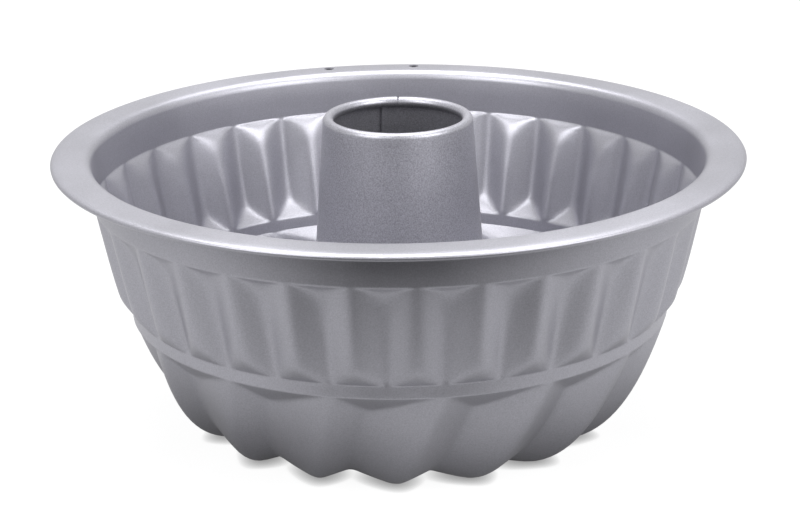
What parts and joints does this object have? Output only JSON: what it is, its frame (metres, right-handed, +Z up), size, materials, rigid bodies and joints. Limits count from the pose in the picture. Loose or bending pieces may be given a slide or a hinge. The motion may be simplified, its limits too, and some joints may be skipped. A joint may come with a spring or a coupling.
{
  "type": "fluted tube pan",
  "caption": "Round fluted baking pan with swirled lobes, a flat rim with two hanging holes and a hollow centre tube.",
  "frame": {"origin": "centre of the circle on which the feet stand, at the ground", "axes": "+Z up along the pan's axis, +Y towards the middle of the two hanging holes"},
  "size_m": [0.246, 0.246, 0.1121],
  "materials": {
    "shell_coating": "satin silver-grey metallic non-stick coating",
    "tube_coating": "satin grey metallic non-stick coating with a fine grain"
  },
  "bodies": {
    "root": {"fluted_shell": "shell_coating", "centre_tube": "tube_coating"}
  },
  "joints": []
}
